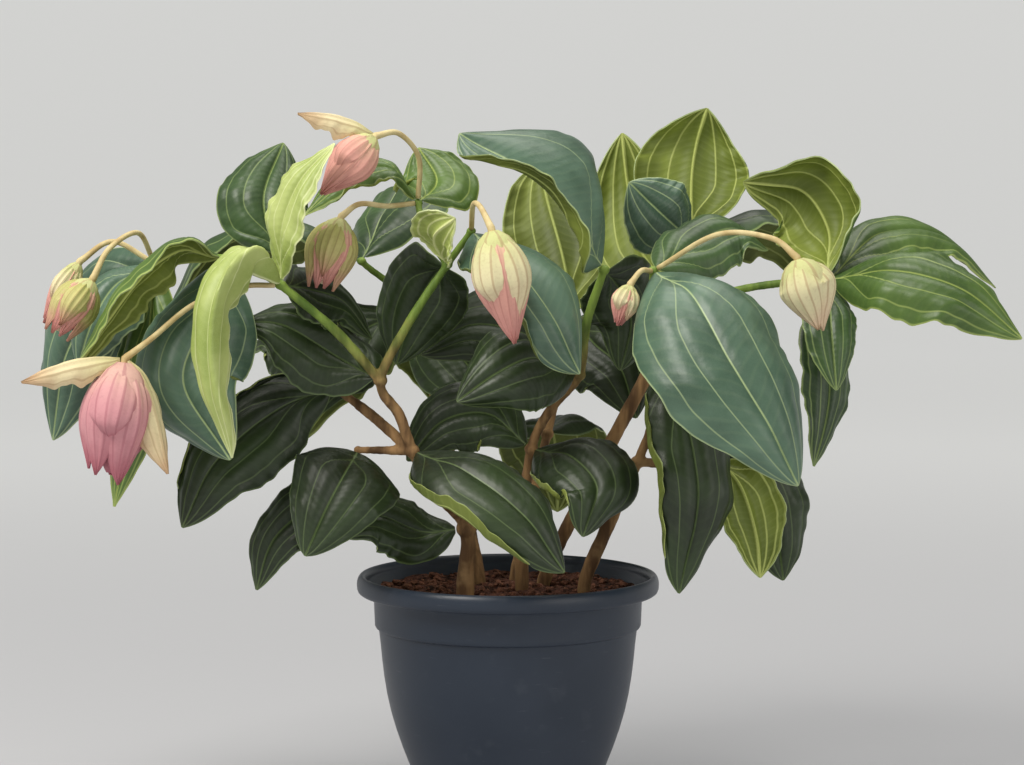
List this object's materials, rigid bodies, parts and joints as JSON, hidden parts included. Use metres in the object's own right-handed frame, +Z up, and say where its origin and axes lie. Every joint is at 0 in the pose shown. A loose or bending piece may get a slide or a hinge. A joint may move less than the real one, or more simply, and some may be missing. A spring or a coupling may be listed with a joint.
{
  "type": "potted medinilla plant",
  "caption": "Flowering house plant with broad ribbed leaves and hanging ribbed buds on woody stems, growing in a round tapered pot.",
  "frame": {"origin": "middle of the pot's flat underside", "axes": "+Z up the pot's axis, -Y towards the side that is shown, +X to its right, along the widest spread"},
  "size_m": [0.8338, 0.466, 0.6112],
  "materials": {
    "pot": "slate-blue moulded plastic, satin",
    "peat": null,
    "stem": "brown corky stems, green towards the tips",
    "leaf": "leathery dark green leaf with pale veins and edge, olive underneath; leather stands in for the leaf",
    "young_leaf": "lime-green young leaf; leather stands in for the leaf",
    "cream_bracts": "ribbed cream bracts, flushed green and pink; leather stands in for the bract",
    "pink_bracts": "ribbed pink bracts with cream outer ones; leather stands in for the bract"
  },
  "bodies": {
    "root": {"bloom_front_left": "pink_bracts", "bud_centre": "cream_bracts", "bud_far_left": "cream_bracts", "bud_left_end": "cream_bracts", "bud_right": "cream_bracts", "bud_small_centre": "cream_bracts", "bud_tall_left": "cream_bracts", "bud_top_left": "cream_bracts", "leaf_above_soil": "leaf", "leaf_arch_left": "leaf", "leaf_arched_right": "leaf", "leaf_back_far_right": "leaf", "leaf_back_high": "leaf", "leaf_back_high_left": "leaf", "leaf_back_low": "leaf", "leaf_back_low_left": "leaf", "leaf_back_middle": "leaf", "leaf_back_right": "leaf", "leaf_back_side_right": "leaf", "leaf_back_wide_left": "leaf", "leaf_behind_bud": "leaf", "leaf_behind_right_front": "leaf", "leaf_blue_behind": "leaf", "leaf_blue_left": "leaf", "leaf_centre_front": "leaf", "leaf_edge_right": "leaf", "leaf_end_left": "leaf", "leaf_far_right_low": "leaf", "leaf_far_right_top": "leaf", "leaf_front_low": "leaf", "leaf_grey_left": "leaf", "leaf_hanging_dark": "leaf", "leaf_hanging_olive": "leaf", "leaf_hanging_right": "leaf", "leaf_heart": "leaf", "leaf_inner_left": "leaf", "leaf_lime_cup": "young_leaf", "leaf_lime_hanging": "young_leaf", "leaf_lime_upright": "young_leaf", "leaf_low_centre": "leaf", "leaf_low_far_left": "leaf", "leaf_low_left": "leaf", "leaf_olive_left": "leaf", "leaf_oval": "leaf", "leaf_right_front": "leaf", "leaf_shadow_left": "leaf", "leaf_small_right": "leaf", "leaf_tall_left": "leaf", "leaf_top": "leaf", "leaf_under_flower": "leaf", "leaf_upright_behind": "leaf", "leaf_upright_right": "leaf", "pot": "pot", "soil": "peat", "stem_back": "stem", "stem_back_left": "stem", "stem_back_right": "stem", "stem_centre": "stem", "stem_left": "stem", "stem_right": "stem"}
  },
  "joints": []
}
